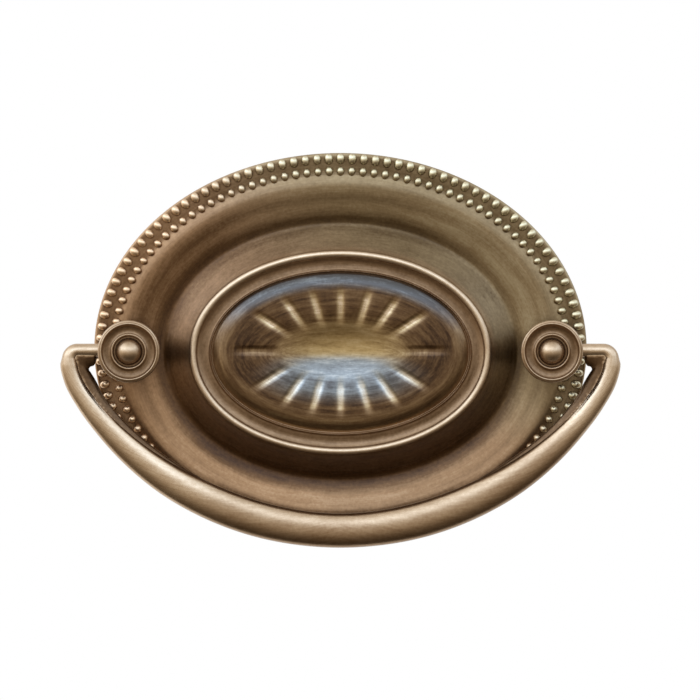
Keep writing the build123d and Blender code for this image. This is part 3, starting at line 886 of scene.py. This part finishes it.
def build_nut(name, side):
    """Hexagon nut: six flats, turned chamfers at both ends, and a plain bore with chamfered mouths."""
    y0, y1, flat = 19.8, 23.0, 3.5
    bm = bmesh.new()
    corner = flat / math.cos(math.pi / 6)
    bmesh.ops.create_cone(bm, cap_ends=True, segments=6, radius1=corner * MM, radius2=corner * MM, depth=(y1 - y0) * MM)
    bmesh.ops.bevel(bm, geom=[e for e in bm.edges if abs(e.verts[0].co.z - e.verts[1].co.z) > 1e-6], offset=0.14 * MM, segments=3,
                    affect="EDGES", profile=0.5)
    mesh = bpy.data.meshes.new(name)
    bm.to_mesh(mesh)
    bm.free()
    obj = bpy.data.objects.new(name, mesh)
    bpy.context.scene.collection.objects.link(obj)
    # the cone stands along Z; turn it along Y and put it in place
    turn = Matrix.Translation(Vector((side * POST_X, (y0 + y1) / 2, 0)) * MM) @ Matrix.Rotation(math.pi / 2, 4, "X") @ Matrix.Rotation(math.pi / 6, 4, "Z")
    mesh.transform(turn)
    recalc(obj)
    cone = lathe("cone", [(0, -y0), (flat - 0.12, -y0), (flat + 0.75, -y0 - 0.50), (flat + 0.75, -y1 + 0.50), (flat - 0.12, -y1), (0, -y1)],
                 side * POST_X, 96)
    boolean(obj, [cone], "INTERSECT")
    bore = lathe("bore", [(0, -y0 + 1), (2.4, -y0 + 1), (2.4, -y0), (2.03, -y0 - 0.36), (2.03, -y1 + 0.36), (2.4, -y1), (2.4, -y1 - 1), (0, -y1 - 1)],
                 side * POST_X, 64)
    boolean(obj, [bore], "DIFFERENCE")
    recalc(obj)
    shade(obj, 24)
    co = coords(obj)
    set_attr(obj, "brush", np.stack([co[:, 1] * 1.0, co[:, 0] * 0.6, co[:, 2] * 0.6], 1))
    return obj


fasteners = {}
for suffix, side in (("left", -1), ("right", 1)):
    fasteners["washer_" + suffix] = build_washer("washer_" + suffix + "_disc", side)
    fasteners["nut_" + suffix] = build_nut("nut_" + suffix + "_hex", side)


# ---- materials ---------------------------------------------------------------
class Nodes:
    """A material with a few shorthands for its node tree."""

    def __init__(self, name):
        self.mat = bpy.data.materials.new(name)
        self.mat.use_nodes = True
        self.tree = self.mat.node_tree
        self.tree.nodes.clear()
        self.out = self.tree.nodes.new("ShaderNodeOutputMaterial")
        self.bsdf = self.tree.nodes.new("ShaderNodeBsdfPrincipled")
        self.tree.links.new(self.bsdf.outputs[0], self.out.inputs[0])

    def link(self, a, b):
        self.tree.links.new(a, b)

    def put(self, socket, value):
        if isinstance(value, bpy.types.NodeSocket):
            self.link(value, socket)
        else:
            socket.default_value = value

    def attr(self, name, vector=False):
        n = self.tree.nodes.new("ShaderNodeAttribute")
        n.attribute_name = name
        return n.outputs["Vector" if vector else "Fac"]

    def math(self, op, a, b=0.0, c=0.0, clamp=False):
        n = self.tree.nodes.new("ShaderNodeMath")
        n.operation = op
        n.use_clamp = clamp
        self.put(n.inputs[0], a)
        self.put(n.inputs[1], b)
        self.put(n.inputs[2], c)
        return n.outputs[0]

    def scaled(self, vector, factors):
        n = self.tree.nodes.new("ShaderNodeVectorMath")
        n.operation = "MULTIPLY"
        self.put(n.inputs[0], vector)
        n.inputs[1].default_value = factors
        return n.outputs[0]

    def scaled_by(self, colour, other):
        n = self.tree.nodes.new("ShaderNodeMix")
        n.data_type = "RGBA"
        n.blend_type = "MULTIPLY"
        n.inputs["Factor"].default_value = 1.0
        self.link(colour, n.inputs[6])
        self.link(other, n.inputs[7])
        return n.outputs[2]

    def noise(self, vector, scale=1.0, detail=3.0, rough=0.55):
        n = self.tree.nodes.new("ShaderNodeTexNoise")
        n.inputs["Scale"].default_value = scale
        n.inputs["Detail"].default_value = detail
        n.inputs["Roughness"].default_value = rough
        self.link(vector, n.inputs["Vector"])
        return n.outputs["Fac"]

    def span(self, value, a, b, c, d):
        n = self.tree.nodes.new("ShaderNodeMapRange")
        self.put(n.inputs[0], value)
        for i, v in enumerate((a, b, c, d)):
            self.put(n.inputs[i + 1], v)
        return n.outputs[0]

    def ramp(self, value, stops):
        n = self.tree.nodes.new("ShaderNodeValToRGB")
        e = n.color_ramp.elements
        while len(e) < len(stops):
            e.new(0.5)
        for element, (pos, colour) in zip(e, stops):
            element.position = pos
            element.color = (*colour, 1)
        self.link(value, n.inputs[0])
        return n.outputs[0]

    def mix(self, fac, a, b):
        n = self.tree.nodes.new("ShaderNodeMix")
        n.data_type = "RGBA"
        self.put(n.inputs["Factor"], fac)
        for socket, v in ((n.inputs[6], a), (n.inputs[7], b)):
            if isinstance(v, bpy.types.NodeSocket):
                self.link(v, socket)
            else:
                socket.default_value = (*v, 1)
        return n.outputs[2]

    def object_coords(self):
        return self.tree.nodes.new("ShaderNodeTexCoord").outputs["Object"]

    def bump(self, height, distance, strength=1.0):
        n = self.tree.nodes.new("ShaderNodeBump")
        n.inputs["Strength"].default_value = strength
        n.inputs["Distance"].default_value = distance
        self.link(height, n.inputs["Height"])
        self.link(n.outputs[0], self.bsdf.inputs["Normal"])


# ramp colours: the lightest stands for worn brass and painted highlights, the darkest for patina and painted shade
DARK = (0.046, 0.021, 0.008)
DEEP = (0.125, 0.067, 0.028)
MID = (0.296, 0.184, 0.098)
LIGHT = (0.508, 0.365, 0.231)
WORN_AND_HIGHLIGHT = (0.746, 0.594, 0.422)


def brass(name, along, across, tone=0.5, rough=(0.26, 0.44), streak=0.16, depth=0.000012, coat=0.35, field=False, shank=False, back=False):
    """Antique brass: worn edges and painted highlights lighten it, brown patina and painted shade darken it,
    with fine brush lines. along and across are the streaks' scales per mm."""
    n = Nodes(name)
    wear_and_highlight, patina_and_shade = n.attr("wear_and_highlight"), n.attr("patina_and_shade")
    brush = n.attr("brush", True)
    fine = n.noise(n.scaled(brush, (across, along, along)), 1.0, 4.0, 0.65)
    broad = n.noise(n.scaled(brush, (across * 0.22, along * 0.45, along * 0.45)), 1.0, 3.0, 0.55)
    cloud = n.noise(n.object_coords(), 110.0, 5.0, 0.6)
    speck = n.noise(n.object_coords(), 1900.0, 3.0, 0.6)
    lines = n.math("ADD", n.math("MULTIPLY", n.math("SUBTRACT", fine, 0.5), streak), n.math("MULTIPLY", n.math("SUBTRACT", broad, 0.5), streak * 0.9))
    value = n.math("ADD", tone, lines)
    value = n.math("ADD", value, n.math("MULTIPLY", n.math("SUBTRACT", cloud, 0.5), 0.16))
    value = n.math("ADD", value, n.math("MULTIPLY", n.math("SUBTRACT", speck, 0.5), 0.20))
    # worn edges and painted highlights lighten the tone, patina and painted shade darken it
    value = n.math("ADD", value, n.math("MULTIPLY", wear_and_highlight, 0.42))
    value = n.math("SUBTRACT", value, n.math("MULTIPLY", patina_and_shade, 0.36))
    if back:
        value = n.math("SUBTRACT", value, n.math("MULTIPLY", n.attr("back"), 0.05))
    colour = n.ramp(value, [(0.08, DARK), (0.28, DEEP), (0.50, MID), (0.72, LIGHT), (0.95, WORN_AND_HIGHLIGHT)])
    r = n.span(value, 0.15, 0.9, rough[1], rough[0])
    r = n.math("ADD", r, n.math("MULTIPLY", n.math("SUBTRACT", fine, 0.5), 0.10))
    if field:
        f = n.attr("field")
        r = n.math("MULTIPLY", r, n.span(f, 0, 1, 1.0, 0.78))
        turning = n.noise(n.scaled(brush, (1.5, 0.28, 0.28)), 1.0, 3.0, 0.6)
        tone_of = n.math("ADD", value, n.math("MULTIPLY", n.math("MULTIPLY", n.math("SUBTRACT", turning, 0.5), f), 0.62))
        plain = n.ramp(tone_of, [(0.10, DARK), (0.28, DEEP), (0.50, (0.24, 0.150, 0.072)), (0.72, (0.46, 0.335, 0.180)), (0.95, WORN_AND_HIGHLIGHT)])
        # painted reflections on the dish: golden in the middle, grey-blue below and on the top of the rolled edge
        gold_reflection = n.ramp(tone_of, [(0.20, (0.19, 0.110, 0.036)), (0.50, (0.52, 0.370, 0.165)), (0.80, (0.76, 0.610, 0.350))])
        grey = n.ramp(tone_of, [(0.20, (0.085, 0.080, 0.076)), (0.50, (0.235, 0.245, 0.240)), (0.80, (0.56, 0.540, 0.480))])
        tinted = n.mix(n.attr("cool_reflection"), n.mix(n.attr("gold_reflection"), plain, gold_reflection), grey)
        # painted reflection tint on the border: olive at the top and the right, ruddier at the left and below
        hue = n.mix(n.attr("olive_reflection_tint"), n.mix(n.attr("ruddy_reflection_tint"), (1.0, 1.0, 1.0), (1.10, 1.0, 0.89)), (0.92, 1.03, 0.97))
        colour = n.mix(f, n.scaled_by(colour, hue), tinted)
    n.link(r, n.bsdf.inputs["Roughness"])
    if shank:
        colour = n.mix(n.attr("shank"), colour, (0.34, 0.25, 0.15))
    n.link(colour, n.bsdf.inputs["Base Color"])
    n.bsdf.inputs["Metallic"].default_value = 1.0
    n.bsdf.inputs["Coat Weight"].default_value = coat
    n.bsdf.inputs["Coat Roughness"].default_value = 0.22
    n.bsdf.inputs["Coat IOR"].default_value = 1.45
    n.bump(n.math("ADD", fine, n.math("MULTIPLY", broad, 0.7)), depth, 1.0)
    return n.mat


plate_mat = brass("plate_brass", 0.9, 3.6, tone=0.49, rough=(0.34, 0.46), streak=0.20, field=True, back=True)
bail_mat = brass("bail_brass", 3.4, 0.60, tone=0.60, streak=0.22, rough=(0.24, 0.38))
post_mat = brass("post_brass", 1.2, 5.0, tone=0.52, streak=0.12, shank=True)


def zinc(name):
    n = Nodes(name)
    brush = n.attr("brush", True)
    spangle = n.tree.nodes.new("ShaderNodeTexVoronoi")
    spangle.inputs["Scale"].default_value = 900.0
    n.link(n.object_coords(), spangle.inputs["Vector"])
    cloud = n.noise(n.object_coords(), 260.0, 4.0, 0.6)
    fine = n.noise(n.scaled(brush, (8.0, 1.5, 1.5)), 1.0, 3.0, 0.6)
    tone = n.math("ADD", n.math("MULTIPLY", cloud, 0.6), n.math("MULTIPLY", fine, 0.4))
    n.link(n.ramp(tone, [(0.25, (0.42, 0.43, 0.44)), (0.5, (0.58, 0.585, 0.58)), (0.75, (0.70, 0.70, 0.68))]), n.bsdf.inputs["Base Color"])
    n.link(n.span(fine, 0.2, 0.8, 0.30, 0.46), n.bsdf.inputs["Roughness"])
    n.bsdf.inputs["Metallic"].default_value = 1.0
    n.bump(fine, 0.000006, 1.0)
    return n.mat


zinc_mat = zinc("zinc_steel")


def finish_piece(obj, body, node, material):
    obj.data.materials.clear()
    obj.data.materials.append(material)
    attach(obj, body)
    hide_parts(node)


finish_piece(plate, "mounted", "backplate", plate_mat)
finish_piece(bail, "bail", "bail", bail_mat)
for name, obj in posts.items():
    finish_piece(obj, "mounted", name, post_mat)
for name, obj in fasteners.items():
    finish_piece(obj, "mounted", name, zinc_mat)


# ---- studio ------------------------------------------------------------------
scene = bpy.context.scene
scene.view_settings.view_transform = "Standard"
scene.view_settings.look = "None"

# floor: a pale round table top, well below the pull
floor_mesh = bpy.data.meshes.new("floor")
bm = bmesh.new()
bmesh.ops.create_circle(bm, cap_ends=True, segments=96, radius=0.42)
bm.to_mesh(floor_mesh)
bm.free()
floor = bpy.data.objects.new("floor", floor_mesh)
scene.collection.objects.link(floor)
floor.location = (0, 0, -0.17)
floor.visible_glossy = False
floor_nodes = Nodes("pale_floor")
floor_nodes.link(floor_nodes.ramp(floor_nodes.noise(floor_nodes.object_coords(), 14.0, 3.0), [(0.3, (0.600, 0.575, 0.535)), (0.7, (0.615, 0.590, 0.550))]),
                 floor_nodes.bsdf.inputs["Base Color"])
floor_nodes.bsdf.inputs["Roughness"].default_value = 0.75
floor.data.materials.append(floor_nodes.mat)

# soft light from all round: bright above the camera, dim below, white behind
world = bpy.data.worlds.new("studio")
scene.world = world
world.use_nodes = True
wt = world.node_tree
wt.nodes.clear()
w_out = wt.nodes.new("ShaderNodeOutputWorld")
w_bg = wt.nodes.new("ShaderNodeBackground")
w_cam = wt.nodes.new("ShaderNodeBackground")
w_mix = wt.nodes.new("ShaderNodeMixShader")
w_path = wt.nodes.new("ShaderNodeLightPath")
w_dir = wt.nodes.new("ShaderNodeTexCoord")
w_sep = wt.nodes.new("ShaderNodeSeparateXYZ")
w_ramp = wt.nodes.new("ShaderNodeValToRGB")
w_range = wt.nodes.new("ShaderNodeMapRange")
w_back = wt.nodes.new("ShaderNodeMapRange")
w_blend = wt.nodes.new("ShaderNodeMix")
w_blend.data_type = "RGBA"
wt.links.new(w_dir.outputs["Generated"], w_sep.inputs[0])
w_range.inputs[1].default_value, w_range.inputs[2].default_value = -1.0, 1.0
wt.links.new(w_sep.outputs["Z"], w_range.inputs[0])
wt.links.new(w_range.outputs[0], w_ramp.inputs[0])
LIGHT_BY_HEIGHT = [  # sine of the elevation, brightness, tint
    (-1.00, 0.08, (1.0, 0.80, 0.58)),
    (-0.87, 0.11, (1.0, 0.80, 0.58)),
    (-0.57, 0.20, (1.0, 0.80, 0.58)),
    (-0.29, 0.42, (1.0, 0.84, 0.64)),
    (-0.12, 0.68, (1.0, 0.90, 0.76)),
    (0.00, 0.85, (1.0, 0.95, 0.86)),
    (0.14, 1.10, (0.97, 0.99, 1.02)),
    (0.26, 1.60, (0.90, 1.00, 1.14)),
    (0.42, 2.15, (0.86, 1.00, 1.22)),
    (0.57, 2.15, (0.86, 1.00, 1.22)),
    (0.77, 1.60, (0.90, 1.00, 1.14)),
    (0.91, 1.10, (0.97, 1.00, 1.04)),
    (1.00, 0.90, (1.0, 1.0, 1.0)),
]
elements = w_ramp.color_ramp.elements
while len(elements) < len(LIGHT_BY_HEIGHT):
    elements.new(0.5)
PEAK = 2.5
for element, (s, level, tint) in zip(elements, LIGHT_BY_HEIGHT):
    element.position = (s + 1) / 2
    element.color = tuple(level / PEAK * c for c in tint) + (1,)
w_back.inputs[1].default_value, w_back.inputs[2].default_value = 0.0, 0.30
wt.links.new(w_sep.outputs["Y"], w_back.inputs[0])
wt.links.new(w_back.outputs[0], w_blend.inputs["Factor"])
wt.links.new(w_ramp.outputs[0], w_blend.inputs[6])
w_blend.inputs[7].default_value = (1.0 / PEAK, 1.0 / PEAK, 1.0 / PEAK, 1)
wt.links.new(w_blend.outputs[2], w_bg.inputs[0])
w_left = wt.nodes.new("ShaderNodeMapRange")
w_left.inputs[1].default_value, w_left.inputs[2].default_value = -1.0, 1.0
w_left.inputs[3].default_value, w_left.inputs[4].default_value = PEAK * 1.26, PEAK * 0.74
wt.links.new(w_sep.outputs["X"], w_left.inputs[0])
wt.links.new(w_left.outputs[0], w_bg.inputs[1])
w_cam.inputs[0].default_value = (1, 1, 1, 1)
w_cam.inputs[1].default_value = 1.0
wt.links.new(w_path.outputs["Is Camera Ray"], w_mix.inputs[0])
wt.links.new(w_bg.outputs[0], w_mix.inputs[1])
wt.links.new(w_cam.outputs[0], w_mix.inputs[2])
wt.links.new(w_mix.outputs[0], w_out.inputs[0])

# camera: straight on, a little above, with a long lens
ELEVATION, DISTANCE, PX_PER_MM = 2.5, 0.76, 5.48
cam_data = bpy.data.cameras.new("camera")
camera = bpy.data.objects.new("camera", cam_data)
scene.collection.objects.link(camera)
e = math.radians(ELEVATION)
target = Vector(((350 - 340.5) / PX_PER_MM * MM, 0, -(350 - 349.1) / PX_PER_MM * MM))
camera.location = target + Vector((0, -math.cos(e), math.sin(e))) * DISTANCE
camera.rotation_euler = (math.pi / 2 - e, 0, 0)
cam_data.sensor_width = 36.0
cam_data.lens = 36.0 * DISTANCE / (700 / PX_PER_MM * MM)
cam_data.clip_start, cam_data.clip_end = 0.01, 20
cam_data.dof.use_dof = False
scene.camera = camera

bpy.context.view_layer.update()
